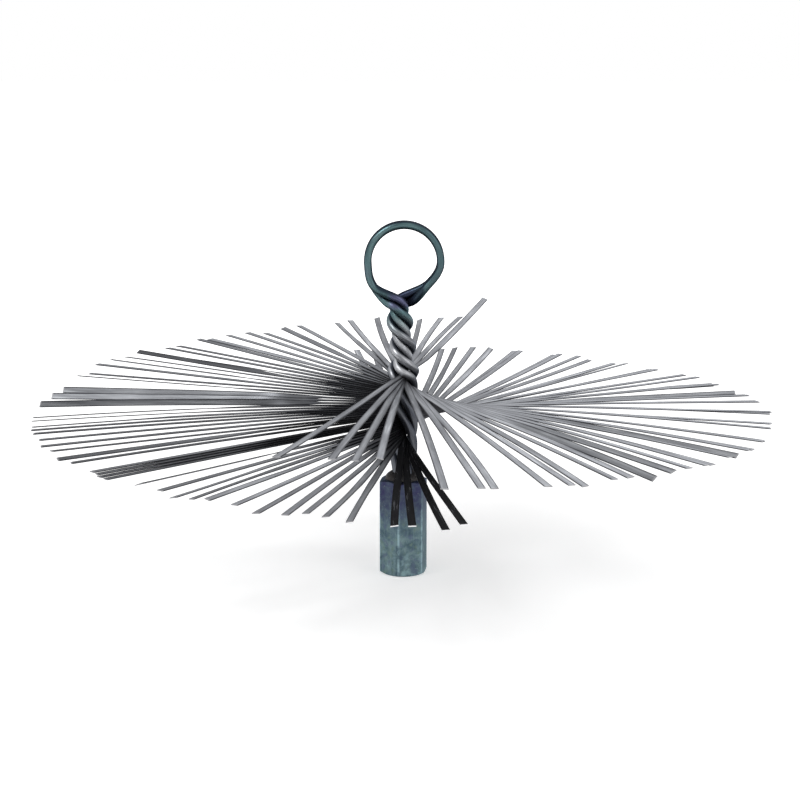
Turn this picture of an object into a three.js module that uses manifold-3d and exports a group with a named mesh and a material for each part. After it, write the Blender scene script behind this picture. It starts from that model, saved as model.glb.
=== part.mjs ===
// Chimney sweep brush in millimetres, +Z up, standing on the lower face of its hexagon coupling.
// Two round wires are each bent double. The two bends lie side by side as the pull eye, and the
// four legs below it are twisted into a stem. The stem grips a stack of flat steel tines, each
// turned a little past the one above it, and its ends are welded into the coupling.
import * as THREE from "three";
import { mergeVertices } from "three/addons/utils/BufferGeometryUtils.js";
import Module from "manifold-3d";

const wasm = await Module();
wasm.setup();

// Flat steel tines: each is one strip through the stem, with an arm on either side.
const sweepRadius = 150;
const tineWidth = 2.8;
const tineThickness = 0.32;
const tineSpacing = 0.17;
const tinePlay = 1.28;
const topTineAzimuth = 74;
// Degrees from each tine to the next one down. Their number sets how many tines there are.
const tineTurnAngles = [
  6, 3.5, 3, 9, 4.5, 2.5, 6.5, 3.5, 3, 3.5, 4, 3.5, 3, 4, 3, 3.5, 3, 3,
  4, 3.5, 3.5, 3, 5, 5, 5, 5, 4, 3.5, 2.5, 3, 3.5, 4.5, 4.5, 3, 4, 5,
  2.5, 2.5, 2.5, 5.5, 3.5, 3, 2.5, 2.5, 5, 3, 3.5, 3.5, 3, 2.5, 6, 2.5, 4, 3,
];
// Arms lean together in bundles. Each list counts the arms of each bundle on its side, from the top.
const leftBundleCounts = [...Array(36).fill(1), 4, ...Array(15).fill(1)];
const rightBundleCounts = [
  ...Array(15).fill(1), 2, 1, 1, 2, 2, 2, 2, 2, 2, 1, 2, 1, 1, 3, 2, 1, 1, 2, 2, ...Array(8).fill(1),
];
const bundleLeanShare = 0.65;
// Reach of the left arms against the sweep, at even turns from the top tine to the bottom one.
const leftReachShares = [1, 1, 1, 0.997, 1.005, 1.02, 1, 0.993, 0.993, 1, 1];
// Height of the tips over the tine's own root, at the same turns.
const leftRiseShares = [0.002, 0, -0.002, 0, 0.006, -0.03, -0.016, -0.006, 0.009, 0.012, 0.01];
const rightRiseShares = [0, -0.061, -0.06, -0.047, -0.038, -0.013, 0.002, 0.009, 0.036, 0.056, 0.064];
const levelTopTineCount = 4;
const riseBendPower = 1.8;
const strayRiseShare = 0.009;
const straySwayShare = 0.2;
const strayReachShare = 0.005;
const shearSkewShare = 0.3;
const mostRollAngle = 24;
const rollHasteFactor = 4;
// How much further the tips of some left arms rise, as a share of the reach, by number from the top.
const leftLiftShares = { 1: 0.055, 24: -0.016, 25: 0.004, 26: 0.007, 28: -0.008 };
// Degrees that some arms are tilted towards the front, by number from the top.
const leftTiltAngles = { 18: 26, 24: 74, 25: 74, 26: 74 };
const rightTiltAngles = { 13: 34, 19: 28, 32: 24, 48: 20 };
const stationShares = [0.06, 0.22, 0.42, 0.62, 0.81, 1];

// Round wire of the eye and the stem.
const wireDiameter = 3.2;
const wireGap = 0.36;
const wireSides = 12;
const wireStep = 2.5;
const barePitch = 20.2;
const bareStem = 26.8;
const crossingLift = 2.6;
const bareOuterRadius = 3.8;
const bareInnerRadius = 2.15;
const bareHalfAngle = 45;
const stackHalfPair = 2.2;
const topHalfPair = 3.7;
const spreadBlend = 7;
const pairBlend = 7;
const lowerPitch = 70;
const neckBelow = 17;
const pointStep = 1.5;
const azimuthWindow = 4;

// Pull eye.
const eyeRadius = 14.75;
const eyeRise = 19.9;
const crossingLegAngle = 228;
const directLegAngle = -44.5;
const eyePointAngle = 10;
// Bezier handles of the branches between the twist and the eye, at the twist and at the eye.
const crossingHandleShares = [0.48, 0.31];
const directHandleShares = [0.5, 0.8];

// Hexagon coupling, with a bore for the rod from below and for the stem from above.
const hexAcrossFlats = 18;
const couplingLength = 40;
const boreDiameter = 10.1;
const mouthDiameter = 12.4;
const faceDiameter = 17.1;
const chamferAngle = 30;
const mouthAngle = 45;
const couplingTurn = 18.6;
const stemDepth = 14;
const boreSides = 32;
const chamferSides = 48;

// Weld bead round the stem on top of the coupling.
const beadHeight = 3.6;
const beadWidth = 15;
const beadSides = 28;
const beadArcPoints = 5;
const seatGap = 0.3;

// Extra length of a cutting tool past the face that it cuts.
const overrun = 1;

const radians = Math.PI / 180;
const fullTurn = 360;
const halfTurn = 180;
const quarterTurn = 90;
const wireRadius = wireDiameter / 2;
const boreRadius = boreDiameter / 2;
const tineCount = tineTurnAngles.length + 1;
const tinePitch = tineThickness + tineSpacing;
const stackBottom = couplingLength + neckBelow;
const stackTop = stackBottom + (tineCount - 1) * tinePitch;
const twistTop = stackTop + bareStem;
const eyeHeight = twistTop + eyeRise;
const stemEnd = couplingLength - stemDepth;

// Straight line from a to b at a share between 0 and 1.
function mix(a, b, share) {
  return a + (b - a) * share;
}

// Same, easing in and out of both ends.
function ease(a, b, share) {
  const s = Math.min(Math.max(share, 0), 1);
  return mix(a, b, s * s * (3 - 2 * s));
}

// Value at a share of the way along a list of evenly placed values.
function along(values, share) {
  const place = share * (values.length - 1);
  const i = Math.min(Math.floor(place), values.length - 2);
  return mix(values[i], values[i + 1], place - i);
}

// Irregular but repeatable number from -1 to 1.
function stray(index, series) {
  const wave = Math.sin((index + 1) * 12.9898 + series * 78.233) * 43758.5453;
  return 2 * (wave - Math.floor(wave)) - 1;
}

// Height of a tine's middle and its azimuth, counted from the top of the stack.
const tineHeights = Array.from({ length: tineCount }, (_, i) => stackTop - i * tinePitch);
const tineAzimuths = tineTurnAngles.reduce((list, turn) => [...list, list.at(-1) + turn], [topTineAzimuth]);

// The wires are too stiff to follow every tine, so they follow a running mean of them.
function meanAzimuth(index) {
  const reach = Math.min(azimuthWindow, index, tineCount - 1 - index);
  const near = tineAzimuths.slice(index - reach, index + reach + 1);
  return near.reduce((sum, azimuth) => sum + azimuth, 0) / near.length;
}
const stackAzimuths = tineAzimuths.map((_, i) => meanAzimuth(i));

// Azimuth in degrees, at height z, of the channel between the wire pairs that the tines lie in.
function channelAzimuth(z) {
  if (z >= stackTop) return stackAzimuths[0] - ((z - stackTop) / barePitch) * fullTurn;
  if (z <= stackBottom) return stackAzimuths.at(-1) + ((stackBottom - z) / lowerPitch) * fullTurn;
  return along(stackAzimuths, (stackTop - z) / (stackTop - stackBottom));
}

// Where one leg of a wire lies at height z: its distance from the axis, and its angle from the middle
// of the wire's own pair. Side is 1 for the leg that crosses under the eye and -1 for the other.
// In the stack and the socket the legs lie in two pairs. In the bare stem the crossing legs run inside.
function legPlace(z, side) {
  const stackSpread = tineWidth / 2 + tinePlay + wireRadius;
  const socketSpread = (boreRadius - seatGap - wireRadius) * Math.SQRT1_2;
  const below = (stackBottom - z) / (stackBottom - couplingLength);
  const across = ease(stackSpread, socketSpread, below);
  const paired = ease(stackHalfPair, topHalfPair, (z - stackTop) / pairBlend + 0.5);
  const lengthwise = ease(paired, socketSpread, below);
  const above = (z - stackTop) / spreadBlend;
  const bareRadius = side > 0 ? bareInnerRadius : bareOuterRadius;
  const radius = ease(Math.hypot(across, lengthwise), bareRadius, above);
  return [radius, ease(Math.atan2(lengthwise, across), bareHalfAngle * radians, above)];
}

// Centre of one leg of the front wire at height z.
function legPoint(z, side) {
  const [radius, fromMiddle] = legPlace(z, side);
  const angle = (channelAzimuth(z) + quarterTurn) * radians - side * fromMiddle;
  return new THREE.Vector3(radius * Math.cos(angle), radius * Math.sin(angle), z);
}

// Height at which a leg leaves the twist for the eye.
function legTop(side) {
  return side > 0 ? twistTop + crossingLift : twistTop;
}

// Points of one leg from its end in the coupling up to where it leaves the twist.
function legPoints(side) {
  const top = legTop(side);
  const count = Math.ceil((top - stemEnd) / pointStep);
  return Array.from({ length: count + 1 }, (_, i) => legPoint(mix(stemEnd, top, i / count), side));
}

// Point of the eye at an angle in degrees from +X, and the direction of the wire there.
function eyePoint(angle) {
  const a = angle * radians;
  const depth = -(wireDiameter + wireGap) / 2;
  return new THREE.Vector3(eyeRadius * Math.cos(a), depth, eyeHeight + eyeRadius * Math.sin(a));
}
function eyeDirection(angle) {
  return new THREE.Vector3(Math.sin(angle * radians), 0, -Math.cos(angle * radians));
}

// Branch from the top of a leg to the eye, without its two ends.
function branchPoints(side, eyeAngle) {
  const start = legPoint(legTop(side), side);
  const below = legPoint(legTop(side) - pointStep, side);
  const end = eyePoint(eyeAngle);
  const span = start.distanceTo(end);
  const [lowShare, highShare] = side > 0 ? crossingHandleShares : directHandleShares;
  const leave = start.clone().sub(below).setLength(span * lowShare);
  const arrive = eyeDirection(eyeAngle).multiplyScalar(-side * span * highShare);
  const curve = new THREE.CubicBezierCurve3(start, start.clone().add(leave), end.clone().add(arrive), end);
  return curve.getPoints(Math.ceil(span / pointStep)).slice(1, -1);
}

// Whole centre line of the front wire: up the crossing leg, round the eye and down the other leg.
function frontWireCurve() {
  const count = Math.round((crossingLegAngle - directLegAngle) / eyePointAngle);
  const ring = Array.from({ length: count + 1 }, (_, i) => {
    return eyePoint(mix(crossingLegAngle, directLegAngle, i / count));
  });
  const points = [
    ...legPoints(1),
    ...branchPoints(1, crossingLegAngle),
    ...ring,
    ...branchPoints(-1, directLegAngle).reverse(),
    ...legPoints(-1).reverse(),
  ];
  return new THREE.CatmullRomCurve3(points, false, "centripetal");
}

// Regular polygon that stands for a round section.
function roundSection(radius, sides) {
  const corners = Array.from({ length: sides }, (_, i) => {
    const angle = (i / sides) * fullTurn * radians;
    return new THREE.Vector2(radius * Math.cos(angle), radius * Math.sin(angle));
  });
  return new THREE.Shape(corners);
}

// Round bar along a curve.
function barAlong(curve, radius, sides, step) {
  const steps = Math.ceil(curve.getLength() / step);
  return new THREE.ExtrudeGeometry(roundSection(radius, sides), { steps, extrudePath: curve });
}

// Least distance between the surfaces of a wire's turns, or of two wires, measured on points.
function leastGap(points, others, skip) {
  let least = Infinity;
  points.forEach((point, i) => {
    others.forEach((other, j) => {
      if (Math.abs(i - j) > skip) least = Math.min(least, point.distanceTo(other) - wireDiameter);
    });
  });
  return least;
}

function printWireGaps(curve) {
  const points = curve.getSpacedPoints(Math.ceil(curve.getLength() / wireRadius));
  const rear = points.map((point) => new THREE.Vector3(-point.x, -point.y, point.z));
  const apart = Math.ceil((3 * wireDiameter) / wireRadius);
  console.log("least gap of a wire to itself", leastGap(points, points, apart).toFixed(2), "mm");
  console.log("least gap between the wires", leastGap(points, rear, -1).toFixed(2), "mm");
}

// Closed solid of a geometry, for joining and cutting.
function solidOf(geometry) {
  const bare = geometry.clone();
  bare.deleteAttribute("normal");
  bare.deleteAttribute("uv");
  const merged = mergeVertices(bare);
  const vertProperties = merged.attributes.position.array;
  const triVerts = new Uint32Array(merged.index.array);
  return new wasm.Manifold(new wasm.Mesh({ numProp: 3, vertProperties, triVerts }));
}

function geometryOf(solid) {
  const mesh = solid.getMesh();
  const geometry = new THREE.BufferGeometry();
  geometry.setAttribute("position", new THREE.BufferAttribute(mesh.vertProperties, 3));
  geometry.setIndex(new THREE.BufferAttribute(mesh.triVerts, 1));
  return geometry;
}

// Solid of revolution about Z from a profile of [radius, height] pairs that starts and ends on the axis.
function turned(profile, sides) {
  const points = profile.map(([radius, height]) => new THREE.Vector2(radius, height));
  return new THREE.LatheGeometry(points, sides).rotateX(quarterTurn * radians);
}

// Hexagon bar cut by a chamfered envelope, bored through, with a countersunk mouth at either end.
function couplingGeometry() {
  const cornerRadius = hexAcrossFlats / 2 / Math.cos((halfTurn / 6) * radians);
  const faceRadius = faceDiameter / 2;
  const chamfer = (cornerRadius - faceRadius) * Math.tan(chamferAngle * radians);
  const mouthRadius = mouthDiameter / 2;
  const mouthDepth = (mouthRadius - boreRadius) / Math.tan(mouthAngle * radians);
  const hexagon = new THREE.ExtrudeGeometry(roundSection(cornerRadius, 6), {
    depth: couplingLength,
    bevelEnabled: false,
  });
  hexagon.rotateZ((couplingTurn - quarterTurn + halfTurn / 6) * radians);
  const envelope = turned(
    [
      [0, 0],
      [faceRadius, 0],
      [cornerRadius, chamfer],
      [cornerRadius, couplingLength - chamfer],
      [faceRadius, couplingLength],
      [0, couplingLength],
    ],
    chamferSides,
  );
  const bore = turned(
    [
      [0, -overrun],
      [mouthRadius, -overrun],
      [mouthRadius, 0],
      [boreRadius, mouthDepth],
      [boreRadius, couplingLength - mouthDepth],
      [mouthRadius, couplingLength],
      [mouthRadius, couplingLength + overrun],
      [0, couplingLength + overrun],
    ],
    boreSides,
  );
  return geometryOf(solidOf(hexagon).intersect(solidOf(envelope)).subtract(solidOf(bore)));
}

// Part of one leg between two heights, grown by the seat gap, as a tool that makes room for the wire.
function legRoom(side, low, high, flip) {
  const count = Math.ceil((high - low) / pointStep);
  const points = Array.from({ length: count + 1 }, (_, i) => legPoint(mix(low, high, i / count), side));
  const curve = new THREE.CatmullRomCurve3(points, false, "centripetal");
  const room = barAlong(curve, wireRadius + seatGap, wireSides, wireStep);
  return solidOf(flip ? room.rotateZ(Math.PI) : room);
}

// Domed bead that fills the space between the legs and laps over the coupling's upper face.
function beadGeometry() {
  const bottom = couplingLength + seatGap;
  const arc = Array.from({ length: beadArcPoints }, (_, i) => {
    const angle = (i / (beadArcPoints - 1)) * quarterTurn * radians;
    return [(beadWidth / 2) * Math.cos(angle), bottom + beadHeight * Math.sin(angle)];
  });
  arc[arc.length - 1][0] = 0;
  let bead = solidOf(turned([[0, bottom], ...arc], beadSides));
  for (const side of [1, -1]) {
    for (const flip of [false, true]) {
      bead = bead.subtract(legRoom(side, bottom - overrun, bottom + beadHeight + overrun, flip));
    }
  }
  return geometryOf(bead);
}

// Arms of one side, which lies a number of degrees round from the tines' own azimuths: the azimuth
// of each in the stem and outside it, and the middle azimuth of the tines in its bundle.
function armsOf(bundles, round) {
  let first = 0;
  return bundles.flatMap((count) => {
    const own = tineAzimuths.slice(first, first + count);
    first += count;
    const middle = own.reduce((sum, azimuth) => sum + azimuth, 0) / count;
    return own.map((azimuth) => {
      return { root: azimuth + round, azimuth: mix(azimuth, middle, bundleLeanShare) + round, middle };
    });
  });
}
const leftArms = armsOf(leftBundleCounts, 0);
const rightArms = armsOf(rightBundleCounts, halfTurn);

// Least angle between an arm and its neighbours, in radians.
function leastTurn(arms, index) {
  const near = [arms[index - 1], arms[index + 1]].filter((arm) => arm);
  return Math.min(...near.map((arm) => Math.abs(arm.azimuth - arms[index].azimuth))) * radians;
}

// Share of its reach from which an arm is clear of its neighbours in plan, so that it may leave them.
function clearShare(arms, index) {
  const radius = tineWidth / leastTurn(arms, index);
  return stationShares.find((share) => share * sweepRadius >= radius) ?? 1;
}

// Unit vector at an azimuth in degrees.
function outwardAt(azimuth) {
  return new THREE.Vector3(Math.cos(azimuth * radians), Math.sin(azimuth * radians), 0);
}

// Four corners of a tine's section on one arm, at a share of its reach. Side is 1 on the left arm.
function tineSection(index, side, share) {
  const arms = side > 0 ? leftArms : rightArms;
  const arm = arms[index];
  const inner = stationShares[0];
  const heading = share > inner ? arm.azimuth : arm.root;
  const outward = outwardAt(heading);
  const sideways = outwardAt(heading + quarterTurn);
  const series = side > 0 ? 1 : 2;
  const turnShare = (arm.middle - topTineAzimuth) / (tineAzimuths.at(-1) - topTineAzimuth);
  const reachShare = side > 0 ? along(leftReachShares, turnShare) : 1;
  const reach = sweepRadius * reachShare * (1 - strayReachShare * (1 + stray(index, 3 + series)));
  const bound = clearShare(arms, index);
  const loose = share > bound ? (share - bound) / (1 - bound) : 0;
  const level = side < 0 && index < levelTopTineCount;
  const fan = level ? 0 : along(side > 0 ? leftRiseShares : rightRiseShares, turnShare);
  const lift = side > 0 ? (leftLiftShares[index + 1] ?? 0) : 0;
  const bent = (stray(index, series) * strayRiseShare + lift) * loose;
  const rise = (fan * share ** riseBendPower + bent) * reach;
  const sway = stray(index, 5 + series) * straySwayShare * leastTurn(arms, index) * reach * loose * loose;
  const tilt = (side > 0 ? leftTiltAngles : rightTiltAngles)[index + 1] ?? 0;
  const fullRoll = (stray(index, 7 + series) ** 3 * mostRollAngle - side * tilt) * radians;
  const roll = fullRoll * Math.min(1, rollHasteFactor * loose);
  const middle = outwardAt(arm.root).multiplyScalar(inner * reach);
  middle.addScaledVector(outward, (share - inner) * reach).addScaledVector(sideways, sway);
  middle.z = tineHeights[index] + rise;
  const across = sideways.clone().applyAxisAngle(outward, roll);
  const up = new THREE.Vector3(0, 0, 1).applyAxisAngle(outward, roll);
  const skew = share === 1 ? stray(index, 9 + series) * shearSkewShare : 0;
  return [
    [1, 1],
    [-1, 1],
    [-1, -1],
    [1, -1],
  ].map(([a, u]) =>
    middle
      .clone()
      .addScaledVector(across, (a * tineWidth) / 2)
      .addScaledVector(outward, (a * skew * tineWidth) / 2)
      .addScaledVector(up, (u * tineThickness) / 2),
  );
}

// Closed strip through a row of four-cornered sections. Opposite sides are split along the same diagonal,
// so that a twisted strip keeps its thickness.
function stripGeometry(sections) {
  const positions = sections.flat().flatMap((corner) => corner.toArray());
  const faces = [];
  for (let s = 0; s + 1 < sections.length; s += 1) {
    for (let c = 0; c < 4; c += 1) {
      const a = 4 * s + c;
      const b = 4 * s + ((c + 1) % 4);
      faces.push(...(c < 2 ? [a, b, b + 4, a, b + 4, a + 4] : [a, b, a + 4, b, b + 4, a + 4]));
    }
  }
  const end = positions.length / 3 - 4;
  faces.push(0, 2, 1, 0, 3, 2);
  faces.push(end, end + 1, end + 2, end, end + 2, end + 3);
  const geometry = new THREE.BufferGeometry();
  geometry.setAttribute("position", new THREE.Float32BufferAttribute(positions, 3));
  geometry.setIndex(faces);
  return geometry;
}

// One tine: the right arm's sections from its tip inwards, then the left arm's out to its tip.
function tineGeometry(index) {
  const left = stationShares.map((share) => tineSection(index, 1, share));
  const right = stationShares.map((share) => {
    const [a, b, c, d] = tineSection(index, -1, share);
    return [b, a, d, c];
  });
  return stripGeometry([...right.reverse(), ...left]);
}

const springSteel = { color: 0x7f8285, roughness: 0.42, metalness: 0.85 };
const darkWire = { color: 0x4c5c5e, roughness: 0.4, metalness: 0.8 };
const zincPlate = { color: 0x657b82, roughness: 0.45, metalness: 0.7 };
const weldMetal = { color: 0x4a4a4c, roughness: 0.7, metalness: 0.6 };

const brush = new THREE.Group();

function addPiece(name, geometry, finish) {
  const piece = new THREE.Mesh(geometry, new THREE.MeshStandardMaterial(finish));
  piece.name = name;
  brush.add(piece);
  return piece;
}

const wireCurve = frontWireCurve();
printWireGaps(wireCurve);
addPiece("eye_wire_front", barAlong(wireCurve, wireRadius, wireSides, wireStep), darkWire);
const rearWire = addPiece("eye_wire_rear", barAlong(wireCurve, wireRadius, wireSides, wireStep), darkWire);
rearWire.rotation.z = Math.PI;
addPiece("hex_coupling", couplingGeometry(), zincPlate);
addPiece("weld_bead", beadGeometry(), weldMetal);
for (let i = 0; i < tineCount; i += 1) {
  addPiece("tine_" + String(i + 1).padStart(2, "0"), tineGeometry(i), springSteel);
}

export default brush;
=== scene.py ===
"""Looks of the chimney sweep brush: finer wires, tines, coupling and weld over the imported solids."""

import math

import bpy
import numpy as np
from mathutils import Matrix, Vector


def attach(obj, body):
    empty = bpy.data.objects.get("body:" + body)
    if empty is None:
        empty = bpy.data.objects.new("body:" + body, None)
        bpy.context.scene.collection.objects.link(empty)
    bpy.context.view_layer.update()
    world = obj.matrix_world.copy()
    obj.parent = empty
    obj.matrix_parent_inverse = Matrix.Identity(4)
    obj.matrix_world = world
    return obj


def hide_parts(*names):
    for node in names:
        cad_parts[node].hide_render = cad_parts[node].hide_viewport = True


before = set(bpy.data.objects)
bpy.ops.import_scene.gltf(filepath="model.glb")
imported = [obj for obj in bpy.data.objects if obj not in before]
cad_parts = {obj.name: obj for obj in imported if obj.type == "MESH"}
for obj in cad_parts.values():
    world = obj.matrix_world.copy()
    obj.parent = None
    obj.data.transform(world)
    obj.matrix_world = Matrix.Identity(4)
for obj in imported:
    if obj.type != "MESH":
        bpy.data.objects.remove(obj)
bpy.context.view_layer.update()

MM = 0.001
FULL_TURN = 2 * math.pi
FULL_DEGREES = 360
QUARTER_DEGREES = 90
HALF_DEGREES = 180

# Camera: the photograph's distance, height over the fan and lens, in millimetres and degrees.
CAMERA_DISTANCE = 850
CAMERA_ELEVATION = 11.6
CAMERA_AIM = (-1.35, 0, 72.8)
CAMERA_LENS = 93.3
CAMERA_SENSOR = 36

# Tines, in millimetres and degrees, with the values of the solids.
SWEEP_RADIUS = 150
TINE_WIDTH = 2.8
TINE_THICKNESS = 0.32
TINE_PITCH = 0.49
TOP_TINE_AZIMUTH = 74
TINE_TURNS = [
    6, 3.5, 3, 9, 4.5, 2.5, 6.5, 3.5, 3, 3.5, 4, 3.5, 3, 4, 3, 3.5, 3, 3,
    4, 3.5, 3.5, 3, 5, 5, 5, 5, 4, 3.5, 2.5, 3, 3.5, 4.5, 4.5, 3, 4, 5,
    2.5, 2.5, 2.5, 5.5, 3.5, 3, 2.5, 2.5, 5, 3, 3.5, 3.5, 3, 2.5, 6, 2.5, 4, 3,
]
# Arms lean together in bundles. Each list counts the arms of each bundle on its side.
LEFT_BUNDLES = [1] * 36 + [4] + [1] * 15
RIGHT_BUNDLES = [1] * 15 + [2, 1, 1, 2, 2, 2, 2, 2, 2, 1, 2, 1, 1, 3, 2, 1, 1, 2, 2] + [1] * 8
BUNDLE_LEAN = 0.65
# Reach of the left arms and rise of the tips, as shares, at even turns from the top tine down.
LEFT_REACHES = [1, 1, 1, 0.997, 1.005, 1.02, 1, 0.993, 0.993, 1, 1]
LEFT_RISES = [0.002, 0, -0.002, 0, 0.006, -0.03, -0.016, -0.006, 0.009, 0.012, 0.01]
RIGHT_RISES = [0, -0.061, -0.06, -0.047, -0.038, -0.013, 0.002, 0.009, 0.036, 0.056, 0.064]
# Further rise of some left arms, by number from the top.
LEFT_LIFTS = {1: 0.055, 24: -0.016, 25: 0.004, 26: 0.007, 28: -0.008}
LEVEL_TOP_TINES = 4
RISE_BEND_POWER = 1.8
STRAY_RISE = 0.009
STRAY_SWAY = 0.2
STRAY_REACH = 0.005
SHEAR_SKEW = 0.3
MOST_ROLL = 24
ROLL_HASTE = 4
# Tilt of some arms towards the front, by number from the top.
LEFT_TILTS = {18: 26, 24: 74, 25: 74, 26: 74}
RIGHT_TILTS = {13: 34, 19: 28, 32: 24, 48: 20}
# Shares of the reach at which the arms of the solids have their sections.
STATION_SHARES = [0.06, 0.22, 0.42, 0.62, 0.81, 1]
# Series of the scatter that each trait of an arm draws from.
REACH_SERIES, SWAY_SERIES, ROLL_SERIES, SHEAR_SERIES = 3, 5, 7, 9
RIGHT_TONE_SERIES, LEFT_TONE_SERIES = 20, 23
STRAY_STEP, STRAY_SERIES_STEP, STRAY_STRETCH = 12.9898, 78.233, 43758.5453

# Finer form of the arms: their bevel, their rows of points and where the first row lies.
EDGE_BEVEL = 0.06
ARM_STATIONS = 34
ARM_START = 0.015
TINE_SIDES = 8
# The right arm's sides are swapped against the left arm's, so its corners come in mirrored order.
RIGHT_CORNER_ORDER = [3, 2, 1, 0, 7, 6, 5, 4]
TINE_SHARP = 30

# Wires, with the values of the solids.
WIRE_DIAMETER = 3.2
WIRE_GAP = 0.36
BARE_PITCH = 20.2
BARE_STEM = 26.8
BARE_OUTER_RADIUS = 3.8
BARE_INNER_RADIUS = 2.15
BARE_HALF_ANGLE = 45
STACK_HALF_PAIR = 2.2
TOP_HALF_PAIR = 3.7
SPREAD_BLEND = 7
PAIR_BLEND = 7
LOWER_PITCH = 70
NECK_BELOW = 17
POINT_STEP = 1.5
AZIMUTH_WINDOW = 4
EYE_RADIUS = 14.75
EYE_RISE = 19.9
EYE_POINT_ANGLE = 10

# Finer form of the wires. They lie closer to the tines than in the solids, cross lower under the
# eye, and lean a little. All of it moves them by no more than 2.3 mm.
TINE_PLAY = 0.6
CROSSING_LIFT = 1.5
CROSSING_LEG_ANGLE = 218.5
DIRECT_LEG_ANGLE = -35
CROSSING_HANDLES = (0.33, 0.34)
DIRECT_HANDLES = (0.4, 0.83)
# Sideways lean of the stem at its neck and of the eye, and the heights over which each comes in.
NECK_LEAN = -1.6
EYE_LEAN = 0.35
NECK_LEAN_HEIGHTS = (91, 110)
EYE_LEAN_HEIGHTS = (117.5, 129)
# The wires are pressed together up to where the eye starts, which closes most of the gaps.
PRESSED_EXTRA = 0.15
EYE_START_RISE = 6.5
EYE_BLEND = 5
GROOVE_POWER = 0.65
RIM_POWER = 1.5
NEAR_AXIS = 0.5
WIRE_SIDES = 28
WIRE_CUTS = 2
WIRE_SHARP = 50

# Coupling and weld, with the values of the solids and the thread and rounding that they lack.
ACROSS_FLATS = 18
COUPLING_LENGTH = 40
BORE_DIAMETER = 10.1
THREAD_DIAMETER = 12
THREAD_PITCH = 1.75
MOUTH_DIAMETER = 12.4
FACE_DIAMETER = 17.1
COUPLING_TURN = 18.6
CORNER_ROUND = 0.7
CHAMFER_ANGLE = 30
HEX_STEP = 60
HEX_HALF = 30
THREAD_FLAT, THREAD_FLANK = 0.2, 0.62
THREAD_ROWS = 10
CHAMFER_ROWS = 12
FLAT_ROWS = 12
ROUND_STEPS = 180
EDGE_WEAR_ANGLE = 4
COUPLING_SHARP = 28
STEM_DEPTH = 14
BEAD_HEIGHT = 3.6
BEAD_WIDTH = 15
BEAD_LIFT = 0.02
BEAD_RINGS = 22
BEAD_SIDES = 96
BEAD_DOME_POWER = 2.2
# Lumps round the bead: height, number and start of each wave.
BEAD_LUMPS = [(0.35, 2, 0.7), (0.22, 5, 1.9)]
LUMP_EDGE, LUMP_TOP = 0.03, 0.12
RIPPLE_HEIGHT, RIPPLE_COUNT, RIPPLE_WANDER, RIPPLE_BENDS, RIPPLE_SPIN = 0.16, 19, 2.2, 2, 5
RIPPLE_FADE = 4
BEAD_SHARP = 60
SEAT_GAP = 0.3

TINE_COUNT = len(TINE_TURNS) + 1
STACK_BOTTOM = COUPLING_LENGTH + NECK_BELOW
STACK_TOP = STACK_BOTTOM + (TINE_COUNT - 1) * TINE_PITCH
TWIST_TOP = STACK_TOP + BARE_STEM
EYE_HEIGHT = TWIST_TOP + EYE_RISE
STEM_END = COUPLING_LENGTH - STEM_DEPTH
WIRE_RADIUS = WIRE_DIAMETER / 2
TWISTED_RADIUS = WIRE_RADIUS + PRESSED_EXTRA
EYE_START = TWIST_TOP + EYE_START_RISE
CORNER_RADIUS = ACROSS_FLATS / 2 / math.cos(math.radians(HEX_HALF))


def mix(a, b, share):
    return a + (b - a) * share


def ease(a, b, share):
    """Smooth passage from a to b, flat outside shares 0 to 1."""
    s = min(max(share, 0), 1)
    return mix(a, b, s * s * (3 - 2 * s))


def along(values, share):
    """Value at a share of the way along an even row of values."""
    place = share * (len(values) - 1)
    i = min(math.floor(place), len(values) - 2)
    return mix(values[i], values[i + 1], place - i)


def stray(index, series):
    """Repeatable scatter between -1 and 1."""
    wave = math.sin((index + 1) * STRAY_STEP + series * STRAY_SERIES_STEP) * STRAY_STRETCH
    return 2 * (wave - math.floor(wave)) - 1


TINE_AZIMUTHS = [TOP_TINE_AZIMUTH]
for turn in TINE_TURNS:
    TINE_AZIMUTHS.append(TINE_AZIMUTHS[-1] + turn)


def mean_azimuth(index):
    reach = min(AZIMUTH_WINDOW, index, TINE_COUNT - 1 - index)
    near = TINE_AZIMUTHS[index - reach : index + reach + 1]
    return sum(near) / len(near)


STACK_AZIMUTHS = [mean_azimuth(i) for i in range(TINE_COUNT)]


def channel_azimuth(z):
    """Azimuth, at a height, of the channel between the wire pairs that the tines lie in."""
    if z >= STACK_TOP:
        return STACK_AZIMUTHS[0] - (z - STACK_TOP) / BARE_PITCH * FULL_DEGREES
    if z <= STACK_BOTTOM:
        return STACK_AZIMUTHS[-1] + (STACK_BOTTOM - z) / LOWER_PITCH * FULL_DEGREES
    return along(STACK_AZIMUTHS, (STACK_TOP - z) / (STACK_TOP - STACK_BOTTOM))


def leg_point(z, side):
    """Point of one leg of a wire at a height. Side is 1 on the leg that crosses to the eye's left."""
    stack_spread = TINE_WIDTH / 2 + TINE_PLAY + WIRE_RADIUS
    socket_spread = (BORE_DIAMETER / 2 - SEAT_GAP - WIRE_RADIUS) * math.sqrt(0.5)
    below = (STACK_BOTTOM - z) / (STACK_BOTTOM - COUPLING_LENGTH)
    across = ease(stack_spread, socket_spread, below)
    paired = ease(STACK_HALF_PAIR, TOP_HALF_PAIR, (z - STACK_TOP) / PAIR_BLEND + 0.5)
    lengthwise = ease(paired, socket_spread, below)
    above = (z - STACK_TOP) / SPREAD_BLEND
    bare = BARE_INNER_RADIUS if side > 0 else BARE_OUTER_RADIUS
    radius = ease(math.hypot(across, lengthwise), bare, above)
    middle = ease(math.atan2(lengthwise, across), math.radians(BARE_HALF_ANGLE), above)
    angle = math.radians(channel_azimuth(z) + QUARTER_DEGREES) - side * middle
    return np.array([radius * math.cos(angle), radius * math.sin(angle), z])


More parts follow.
